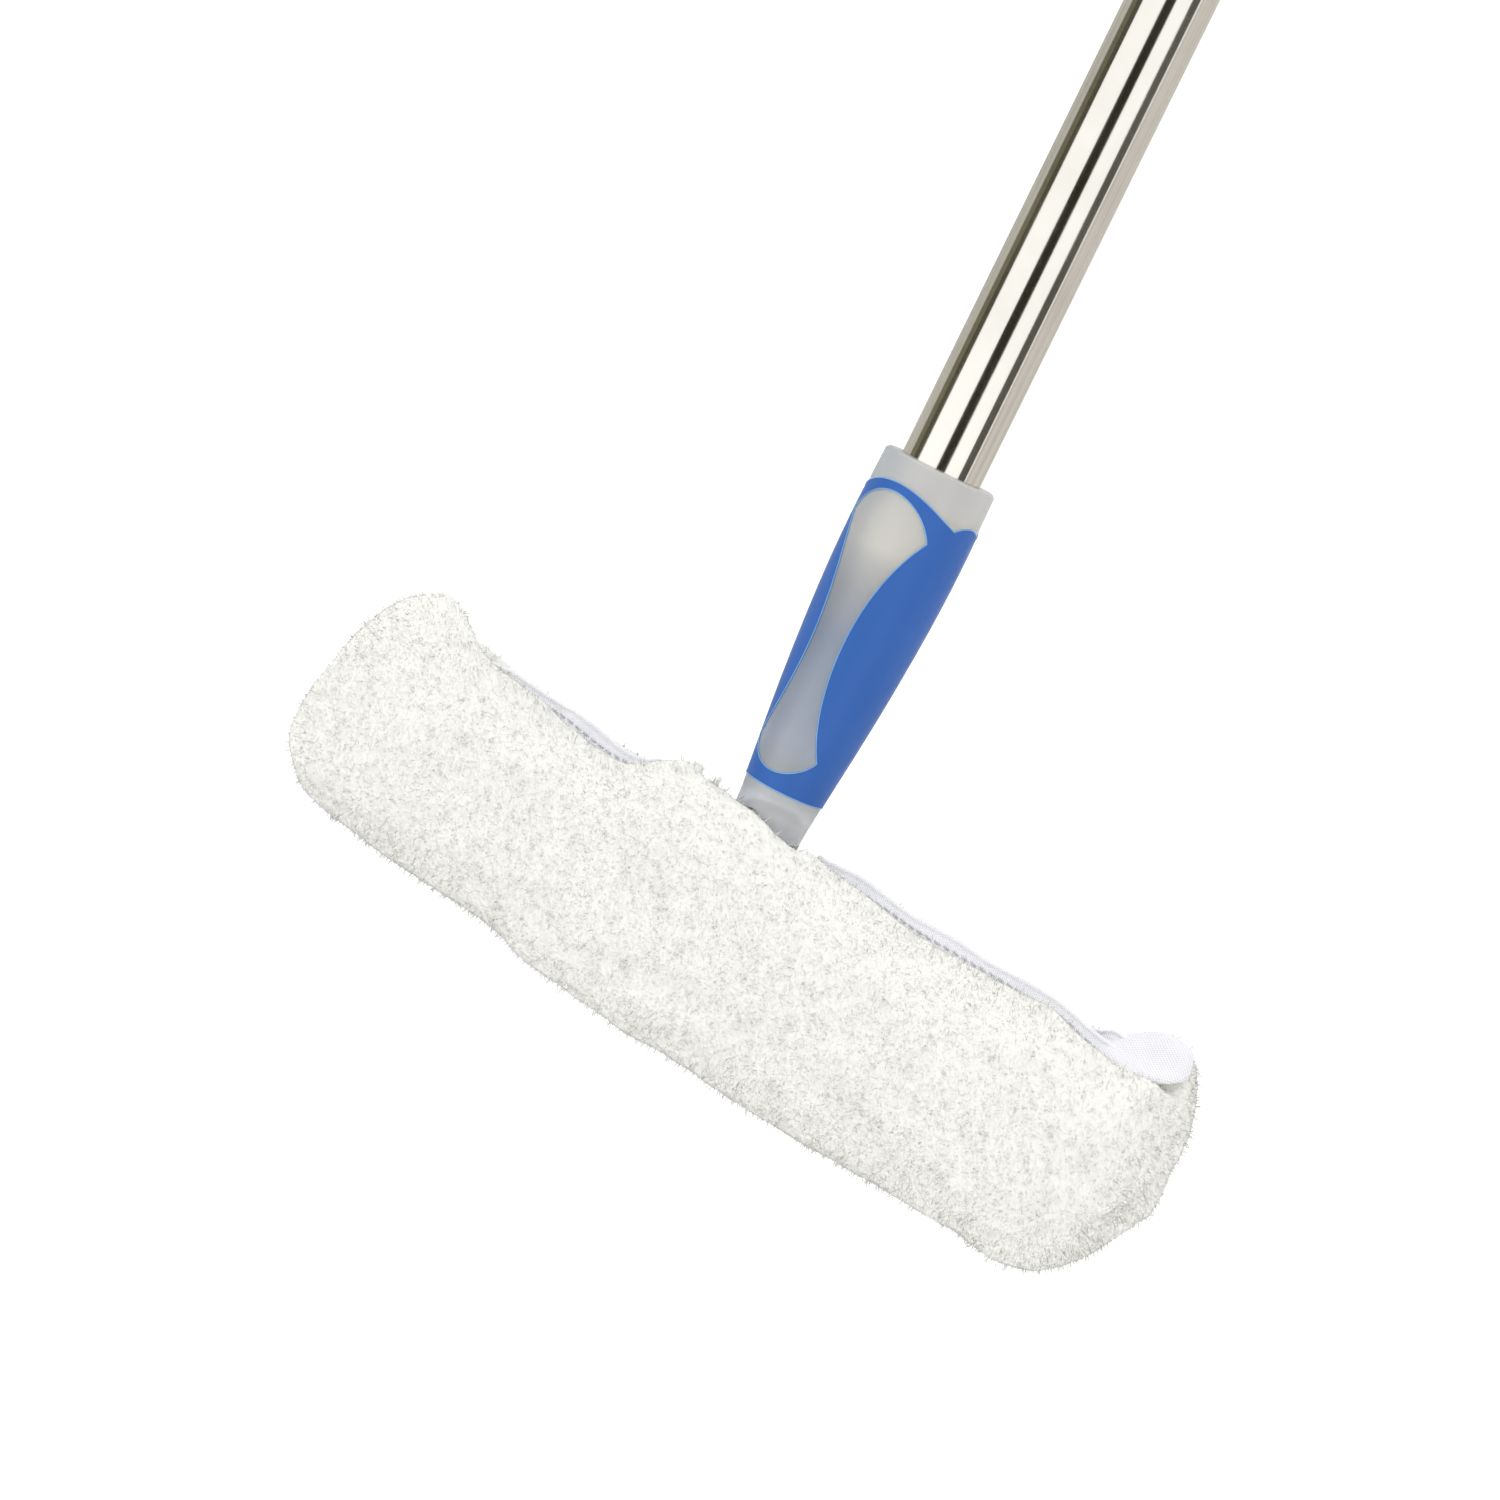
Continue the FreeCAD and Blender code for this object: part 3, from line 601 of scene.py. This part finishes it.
def roots_on(mesh, count, rng):
    """Evenly scattered points on the faces that carry pile, with their normals."""
    mesh.calc_loop_triangles()
    corners = np.empty(len(mesh.loop_triangles) * 3, np.int32)
    mesh.loop_triangles.foreach_get("vertices", corners)
    corners = corners.reshape(-1, 3)
    co, no = coordinates(mesh), normals(mesh)
    a, b, c = (co[corners[:, i]] for i in range(3))
    middle = (a + b + c) / 3
    facing = np.cross(b - a, c - a)
    area = np.linalg.norm(facing, axis=1) / 2
    slot_half = np.where(middle[:, 2] > PIVOT_Z - 5 * MM, 7 * MM, 10 * MM)
    slot_half[np.abs(middle[:, 0]) < 24 * MM] = 10 * MM
    over_trough = (np.abs(middle[:, 1]) < slot_half) & (middle[:, 2] > BACKING_HIGH.z - 2 * MM)
    over_trough &= np.abs(middle[:, 0]) < 143 * MM
    over_trough &= (middle[:, 2] < PIVOT_Z - 1 * MM) | (np.abs(middle[:, 0]) < 24 * MM)
    on_corner = (from_corner(middle) < 0.85) & (middle[:, 2] > PIVOT_Z - 9 * MM)
    carries = (depth_outside(middle) > 3 * MM) & ~over_trough & ~on_corner
    area = area * carries
    chosen = rng.choice(len(area), count, p=area / area.sum())
    u, v = rng.random((2, count, 1))
    u, v = np.where(u + v > 1, 1 - u, u), np.where(u + v > 1, 1 - v, v)
    place = a[chosen] + u * (b - a)[chosen] + v * (c - a)[chosen]
    n0, n1, n2 = (no[corners[chosen, i]] for i in range(3))
    normal = n0 + u * (n1 - n0) + v * (n2 - n0)
    return place, normal / np.linalg.norm(normal, axis=1, keepdims=True)


def unit(vectors):
    """The same directions, each of length 1."""
    return vectors / np.maximum(np.linalg.norm(vectors, axis=1, keepdims=True), 1e-9)


def pile_lean(root, rng):
    """Which way the pile leans at each root: in soft swirls, a little down, and up beside the neck."""
    lean = drift(root, 24 * MM, SEED + 1) * 0.25 + drift(root, 6 * MM, SEED + 2) * 0.2
    lean += rng.normal(size=root.shape) * 0.3 + np.array([0, 0, -0.2])
    by_neck = (np.abs(root[:, 0]) < 16 * MM) & (root[:, 2] > PIVOT_Z + 3 * MM) & (root[:, 1] < 0)
    lean[by_neck] += np.array([0.2, -0.1, 0.9])
    return lean


def ring(centre, first, radius, rng):
    """Three points round each centre, square to its direction, and the way each faces."""
    side = unit(np.cross(first, rng.normal(size=first.shape)))
    other = np.cross(first, side)
    turns = (0, 2 * math.pi / 3, 4 * math.pi / 3)
    outward = [side * math.cos(turn) + other * math.sin(turn) for turn in turns]
    return [centre + out * radius[:, None] for out in outward], outward


def pile_mesh(name, rows, facing, tip_share, faces):
    """One mesh of many alike strands, from the rows of points of each. Its tip attribute runs from 0 to 1 and
    sets the pile's painted root shade.
    """
    count, size = len(rows[0]), len(rows)
    start = np.arange(count)[:, None, None] * size
    made = []
    for group in faces:
        made += (start + np.array(group)).reshape(-1, len(group[0])).tolist()
    obj = mesh_object(name, np.stack(rows, 1).reshape(-1, 3), made)
    tip = obj.data.attributes.new("tip", "FLOAT", "POINT")
    tip.data.foreach_set("value", np.tile(tip_share, count).astype(np.float32))
    shade_smooth(obj)
    obj.data.normals_split_custom_set_from_vertices(np.stack(facing, 1).reshape(-1, 3).tolist())
    return obj


def strands(name, root, normal, rng):
    """The dense short pile: a fine closed spike at each root."""
    length = PILE_LENGTH * rng.uniform(0.8, 1.2, len(root))
    radius = rng.uniform(0.11, 0.19, len(root)) * MM
    first = unit(normal + pile_lean(root, rng))
    foot = root - normal * ROOT_DEPTH
    rows, outward = ring(foot, first, radius, rng)
    facing = [unit(out * 0.1 + normal) for out in outward] + [unit(first * 0.1 + normal)]
    rows.append(foot + first * length[:, None])
    faces = [[[0, 1, 3], [1, 2, 3], [2, 0, 3], [0, 2, 1]]]
    return pile_mesh(name, rows, facing, [0, 0, 0, 1], faces)


def long_strands(name, root, normal, reach, rng):
    """Stray strands of about reach metres, bent once, that blur the outline."""
    length = reach * rng.uniform(0.75, 1.25, len(root))
    radius = rng.uniform(0.09, 0.14, len(root)) * MM
    lean = pile_lean(root, rng)
    first = unit(normal + 0.8 * lean)
    second = unit(first + 0.8 * lean + rng.normal(size=root.shape) * 0.3)
    foot = root - normal * ROOT_DEPTH
    knee = foot + first * (length * 0.55)[:, None]
    low, outward = ring(foot, first, radius, np.random.default_rng(SEED))
    high, _ = ring(knee, first, radius * 0.8, np.random.default_rng(SEED))
    facing = [unit(out * 0.1 + normal) for out in outward * 2] + [unit(second * 0.1 + normal)]
    rows = low + high + [knee + second * (length * 0.45)[:, None]]
    sides = [[0, 1, 4, 3], [1, 2, 5, 4], [2, 0, 3, 5]]
    ends = [[3, 4, 6], [4, 5, 6], [5, 3, 6], [0, 2, 1]]
    return pile_mesh(name, rows, facing, [0, 0, 0, 0.5, 0.5, 0.5, 1], [sides, ends])


def plush_sleeve(paint):
    """The sleeve's cloth, its short pile in pieces, the stray strands and the tuft beside the neck."""
    base = sleeve_base()
    # The cloth between the strands sits at 0.6 on the pile's painted root shade.
    tip = base.data.attributes.new("tip", "FLOAT", "POINT")
    tip.data.foreach_set("value", np.full(len(base.data.vertices), 0.6, np.float32))
    rng = np.random.default_rng(SEED)
    made = [base]
    root, normal = roots_on(base.data, PILE_COUNT, rng)
    order = np.argsort(root[:, 0])
    by_neck = (np.abs(root[:, 0] + 3 * MM) < 12 * MM) & (root[:, 1] > -19 * MM) & (root[:, 1] < -12 * MM)
    by_neck &= root[:, 2] > PIVOT_Z + 4.5 * MM
    fringe = root[by_neck][::2], normal[by_neck][::2]
    for index, chosen in enumerate(np.array_split(order, PILE_PARTS)):
        made.append(strands(f"pile_{index + 1}", root[chosen], normal[chosen], rng))
    root, normal = roots_on(base.data, LONG_PILE_COUNT, rng)
    made.append(long_strands("pile_long", root, normal, LONG_PILE_LENGTH, rng))
    made.append(long_strands("pile_fringe", *fringe, FRINGE_LENGTH, rng))
    for obj in made:
        obj.data.materials.append(paint)
        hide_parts("pile_cover")
        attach(obj, "head")


# ---------------------------------------------------------------- lining, hems and closing tapes


def top_line(x, y):
    """Height of the pile's top over the pin, front to back."""
    back = smooth(y, -8 * MM, 8 * MM)
    return through(TOP_FRONT, x) * (1 - back) + through(TOP_BACK, x) * back


def grid_faces(rows, columns, start=0, closed=False):
    """Quads between neighbouring rows of a grid of points."""
    last = columns if closed else columns - 1
    return [
        (
            start + i * columns + j,
            start + i * columns + (j + 1) % columns,
            start + (i + 1) * columns + (j + 1) % columns,
            start + (i + 1) * columns + j,
        )
        for i in range(rows - 1)
        for j in range(last)
    ]


def thicken(obj, thickness):
    """Gives a sheet its thickness, half on each side."""
    solid = obj.modifiers.new("thickness", "SOLIDIFY")
    solid.thickness = thickness
    solid.offset = 0
    apply_modifiers(obj)
    shade_smooth(obj)


def finish_cloth(obj, paint, *nodes):
    """Puts a woven piece on the head, in place of any nodes named."""
    obj.data.materials.append(paint)
    if nodes:
        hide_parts(*nodes)
    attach(obj, "head")
    return obj


def hem_path(x, side, rise):
    """Cross-section of a folded hem: up the outer leg, over the fold and down the inner leg."""
    beside = top_line(np.array([x]), np.array([side * 12 * MM]))[0]
    top = PIVOT_Z + min(beside - 1.2 * MM, 0) + rise - (1.5 * MM if side > 0 else 0)
    sway = 0.5 * MM * math.sin(x / (7.3 * MM) + side) + 0.3 * MM * math.sin(x / (3.1 * MM))
    outer, inner, height = HEM_HIGH.y + 1.2 * MM, 1.0 * MM, 8.5 * MM
    points = []
    for step in np.linspace(0, 1, 9):
        lean = (outer - 1.8 * MM) * (1 - step) + (inner + 2.6 * MM) * step
        points.append((side * (lean + sway), top - height * (1 - step)))
    for angle in np.linspace(0.2, math.pi - 0.2, 6):
        centre = inner + 1.9 * MM
        points.append((side * (centre + 0.8 * MM * math.cos(angle) + sway), top + 0.8 * MM * math.sin(angle)))
    for step in np.linspace(1, 0, 9):
        points.append((side * (inner + 1.0 * MM + 0.4 * MM * step + sway), top - height * (1 - step)))
    return points


def hems():
    """Folded woven edging on both sides of the closure, left and right of the neck."""
    rng = np.random.default_rng(SEED + 5)
    verts, faces = [], []
    for side in (-1, 1):
        for end in (-1, 1):
            stations = np.linspace(TAPE_START, TAPE_HIGH.x + 4 * MM, 90)
            start = len(verts)
            phase = rng.uniform(0, 6)
            for x in stations:
                rise = 0.3 * MM + 0.35 * MM * math.sin(x / (5 * MM) + phase)
                verts += [(end * x, y, z) for y, z in hem_path(end * x, side, rise)]
            faces += grid_faces(len(stations), 24, start)
    obj = mesh_object("lining_hem", verts, faces)
    thicken(obj, 0.5 * MM)
    return obj


def stitches():
    """A row of thread along each hem."""
    verts, faces = [], []
    for side in (-1, 1):
        for end in (-1, 1):
            for x in np.arange(24 * MM, 139 * MM, 3.2 * MM):
                centre = hem_path(end * x, side, 0.3 * MM)[6]
                start = len(verts)
                for t in np.linspace(-1, 1, 7):
                    bow = 0.45 * MM + 0.34 * MM * (1 - t * t)
                    size = 0.3 * MM * math.sqrt(max(1 - t**4, 0.03))
                    for a in range(6):
                        angle = a * math.pi / 3
                        verts.append((
                            end * x + t * 1.25 * MM,
                            centre[0] + side * bow + size * math.cos(angle),
                            centre[1] + size * math.sin(angle) - 0.2 * MM * t,
                        ))
                faces += grid_faces(7, 6, start, closed=True)
                faces += [tuple(start + a for a in range(6))[::-1], tuple(start + 36 + a for a in range(6))]
    return mesh_object("hem_stitches", verts, faces)


def tape(name, low):
    """The webbing of one closing tape, on both sides of the neck, whose underside is at height low."""
    verts, faces = [], []
    width = TAPE_HIGH.y
    for end in (-1, 1):
        stations, across = np.linspace(TAPE_START, TAPE_HIGH.x, 60), np.linspace(-width, width, 10)
        start = len(verts)
        for x in stations:
            wave = 0.12 * MM * math.sin(x / (6 * MM))
            verts += [(end * x, y, low + 0.8 * MM + wave * math.cos(y / width)) for y in across]
        faces += grid_faces(len(stations), len(across), start)
    obj = mesh_object(name, verts, faces)
    thicken(obj, 0.7 * MM)
    return obj


def hooks(name, base_z, height, pitch):
    """A field of small bent threads on a tape."""
    verts, faces = [], []
    rng = np.random.default_rng(SEED + int(height / MM * 10))
    for end in (-1, 1):
        for x in np.arange(23.5 * MM, 136 * MM, pitch):
            for y in np.arange(-6 * MM, 6.1 * MM, pitch):
                start = len(verts)
                lean = rng.uniform(-1, 1, 2) * 0.15 * MM
                for t in np.linspace(0, 1, 4):
                    bend = 0.45 * MM * math.sin(t * 2.2)
                    for a in range(3):
                        angle = a * 2 * math.pi / 3
                        verts.append((
                            end * x + bend + lean[0] * t + 0.13 * MM * math.cos(angle),
                            y + lean[1] * t + 0.13 * MM * math.sin(angle),
                            base_z + height * math.sin(t * 1.9) / math.sin(1.57),
                        ))
                faces += grid_faces(4, 3, start, closed=True)
                faces += [(start + 2, start + 1, start), (start + 9, start + 10, start + 11)]
    return mesh_object(name, verts, faces)


def bag_outline():
    """Cross-section of the bag's back half, from the opening's edge down to the middle of the bottom."""
    width, low, high, corner = BACKING_HIGH.y, BACKING_LOW.z, BACKING_HIGH.z, 7 * MM
    points = [(y, high) for y in np.linspace(0.4 * MM, width - corner, 5)]
    for angle in np.linspace(0, math.pi / 2, 6)[1:]:
        points.append((width - corner + corner * math.sin(angle), high - corner + corner * math.cos(angle)))
    points += [(width, z) for z in np.linspace(high - corner, low + corner, 12)[1:]]
    for angle in np.linspace(0, math.pi / 2, 6)[1:]:
        points.append((width - corner + corner * math.cos(angle), low + corner - corner * math.sin(angle)))
    points += [(y, low) for y in np.linspace(width - corner, 0, 5)[1:]]
    return points


def bag():
    """The woven bag on the bar: one cloth folded round it, closed at the ends, open round the neck."""
    stations = np.linspace(BACKING_LOW.x, BACKING_HIGH.x, 97)
    back = bag_outline()
    outline = [(-y, z) for y, z in back] + back[::-1][1:]
    columns = len(outline)
    verts = []
    for x in stations:
        for y, z in outline:
            puff = 0.35 * MM * math.sin(x / (11 * MM) + z / (10 * MM)) if abs(y) > 4 * MM else 0.0
            verts.append((x, y + math.copysign(puff, y) - math.copysign(0.5 * MM, y), z - 0.3 * MM))
    kept = []
    for face in grid_faces(len(stations), columns):
        centre = sum((Vector(verts[i]) for i in face), Vector()) / 4
        if abs(centre.x) >= NECK_GAP or centre.z <= BACKING_HIGH.z - 2.5 * MM:
            kept.append(face)
    for x_index in (0, len(stations) - 1):
        row = [x_index * columns + j for j in range(columns)]
        half_count = columns // 2
        for j in range(half_count - 1):
            quad = (row[j], row[j + 1], row[columns - 2 - j], row[columns - 1 - j])
            if len(set(quad)) == 4:
                kept.append(quad if x_index else quad[::-1])
    obj = mesh_object("lining_bag", verts, kept)
    thicken(obj, 0.8 * MM)
    return obj


def corner_lining():
    """The lining that shows at the right end of the opening, turned up, with its edge under the pile."""
    rows, columns = 34, 22
    verts = []
    for u in np.linspace(-1, 1, rows):
        for v in np.linspace(-1, 1, columns):
            along = u * math.sqrt(1 - v * v / 2)
            x = CORNER_X + along * (CORNER_OUTWARD if u > 0 else CORNER_INWARD)
            y = corner_width(along) * v * math.sqrt(1 - u * u / 2)
            edge = max(abs(u), abs(v))
            low, high = top_line(np.array([x, x]), np.array([-CORNER_WIDE, CORNER_WIDE]))
            rise = smooth(y, -CORNER_WIDE, CORNER_WIDE)
            wrinkle = 0.3 * MM * math.sin(x / (2.1 * MM) + 5 * v) * (1 - edge)
            dish = 1.7 * MM - 1.0 * MM * edge**2 + 2.2 * MM * edge**12 + 3.5 * MM * smooth(-u, 0.1, 1)
            verts.append((x, y, PIVOT_Z + low * (1 - rise) + high * rise + wrinkle - dish))
    obj = mesh_object("lining_corner", verts, grid_faces(rows, columns))
    thicken(obj, 0.6 * MM)
    return obj


def closing_tape(name, node, loop_height, pitch, paint):
    """A closing tape and the field of threads that stands on it."""
    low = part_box(node)[0].z
    webbing = finish_cloth(tape(f"{name}_webbing", low), paint, node)
    field = finish_cloth(hooks(f"{name}_threads", low + 1.1 * MM, loop_height, pitch), paint)


def woven_parts():
    """The hems and their stitches, the closing tapes, the bag and the turned corner."""
    cloth = woven_paint("woven_lining", (0.90, 0.90, 0.92), (0.76, 0.765, 0.80), 0.8 * MM)
    coarse = woven_paint("turned_lining", (0.82, 0.815, 0.84), (0.62, 0.62, 0.655), 1.3 * MM)
    thread = woven_paint("sewing_thread", (0.76, 0.765, 0.79), (0.64, 0.645, 0.69), 0.3 * MM)
    webbing = woven_paint("tape_webbing", (0.58, 0.585, 0.62), (0.45, 0.46, 0.52), 0.5 * MM)
    hem = finish_cloth(hems(), cloth, "hem_binding")
    sewing = finish_cloth(stitches(), thread)
    closing_tape("loop", "loop_tape", 0.5 * MM, 1.6 * MM, webbing)
    closing_tape("hook", "hook_tape", 0.8 * MM, 1.4 * MM, webbing)
    lining = finish_cloth(bag(), cloth, "backing_cloth")
    corner = finish_cloth(corner_lining(), coarse)


# ---------------------------------------------------------------- camera, lights and stage


# The camera's angle round the head and above it, its tilt, its distance in metres and focal length in
# millimetres, and where it aims: to the right of the pole and at what height.
HEAD_YAW = math.radians(30)
CAMERA_HEIGHT = math.radians(6.96)
CAMERA_ROLL = math.radians(26.08)
CAMERA_DISTANCE = 1.3
FOCAL_LENGTH = 108.4
AIM_RIGHT = -0.0139
AIM_Z = -0.8085
FLOOR_Z = -1.16

# The cards that the polished tube mirrors: how far out they stand, how near they run in along the floor, and
# the height of their top edge.
CARD_OUT = 2.7
CARD_IN = 0.12
CARD_TOP = 2.2


def camera():
    """The camera at the photograph's angle."""
    toward = Vector((
        math.sin(HEAD_YAW) * math.cos(CAMERA_HEIGHT),
        -math.cos(HEAD_YAW) * math.cos(CAMERA_HEIGHT),
        math.sin(CAMERA_HEIGHT),
    ))
    right = Vector((math.cos(HEAD_YAW), math.sin(HEAD_YAW), 0))
    up = toward.cross(right)
    aim = right * AIM_RIGHT + Vector((0, 0, AIM_Z))
    data = bpy.data.cameras.new("camera")
    data.lens = FOCAL_LENGTH
    data.sensor_width = 36
    data.clip_start = 0.05
    obj = bpy.data.objects.new("camera", data)
    bpy.context.scene.collection.objects.link(obj)
    x = right * math.cos(CAMERA_ROLL) + up * math.sin(CAMERA_ROLL)
    y = up * math.cos(CAMERA_ROLL) - right * math.sin(CAMERA_ROLL)
    place = aim + toward * CAMERA_DISTANCE
    rows = [(x[i], y[i], toward[i], place[i]) for i in range(3)]
    obj.matrix_world = Matrix(rows + [(0, 0, 0, 1)])
    bpy.context.scene.camera = obj


def floor():
    """A wide pale floor under the hanging mop."""
    size, parts = 14.0, 8
    steps = np.linspace(-size, size, parts + 1)
    verts = [(x, y, FLOOR_Z) for x in steps for y in steps]
    row = parts + 1
    faces = [
        (i * row + j, (i + 1) * row + j, (i + 1) * row + j + 1, i * row + j + 1)
        for i in range(parts)
        for j in range(parts)
    ]
    obj = mesh_object("floor", verts, faces)
    paint = Paint("pale_floor", Roughness=0.9)
    paint.shader.inputs["Specular IOR Level"].default_value = 0.0
    tone = paint.ramp(paint.noise(0.9), (0.3, (0.94, 0.94, 0.94)), (0.7, (0.96, 0.96, 0.96)))
    paint.feed(tone, "Base Color")
    obj.data.materials.append(paint.material)


def panel(name, start, end, shade):
    """A curved card for the polished tube to mirror, upright and then in along the floor to under the mop.

    It runs from start to end degrees round from the camera."""
    turn = [math.radians(a) for a in np.linspace(start, end, 12)]
    low = FLOOR_Z + 0.01
    verts = []
    for angle in turn:
        around = HEAD_YAW + angle
        for reach, z in ((CARD_IN, low), (CARD_OUT, low), (CARD_OUT, CARD_TOP)):
            verts.append((reach * math.sin(around), -reach * math.cos(around), z))
    faces = grid_faces(len(turn), 3)
    obj = mesh_object(name, verts, faces)
    paint = Paint(name + "_card", Roughness=0.9)
    paint.shader.inputs["Specular IOR Level"].default_value = 0.0
    lighter = tuple(min(1.0, c * 1.25) for c in shade)
    paint.feed(paint.ramp(paint.noise(0.5), (0.35, shade), (0.65, lighter)), "Base Color")
    obj.data.materials.append(paint.material)
    obj.visible_camera = False
    obj.visible_diffuse = False
    obj.visible_shadow = False
    obj.visible_transmission = False


def studio():
    """Even white light, one soft sun and the cards."""
    world = bpy.data.worlds.new("studio")
    bpy.context.scene.world = world
    world.use_nodes = True
    sky = world.node_tree.nodes["Background"]
    sky.inputs["Color"].default_value = (1, 1, 1, 1)
    sky.inputs["Strength"].default_value = 1.25
    data = bpy.data.lights.new("window_light", "SUN")
    data.energy = 0.6
    data.angle = math.radians(50)
    sun = bpy.data.objects.new("window_light", data)
    bpy.context.scene.collection.objects.link(sun)
    sun.rotation_euler = Vector((0.35, 0.45, -0.82)).to_track_quat("-Z", "Y").to_euler()
    panel("dark_front", -15, 10, (0.022, 0.019, 0.012))
    panel("dark_left", -88, -72, (0.06, 0.055, 0.038))
    panel("olive_left", -106, -88, (0.12, 0.115, 0.08))
    panel("grey_right", 49, 71, (0.075, 0.072, 0.065))
    panel("pale_right", 74, 150, (0.44, 0.42, 0.40))
    panel("pale_left", -160, -106, (0.38, 0.37, 0.34))
    bpy.context.scene.view_settings.view_transform = "Standard"
    bpy.context.scene.cycles.diffuse_bounces = 10


camera()
studio()
floor()
dress_frame()
plush_sleeve(plush_paint())
woven_parts()
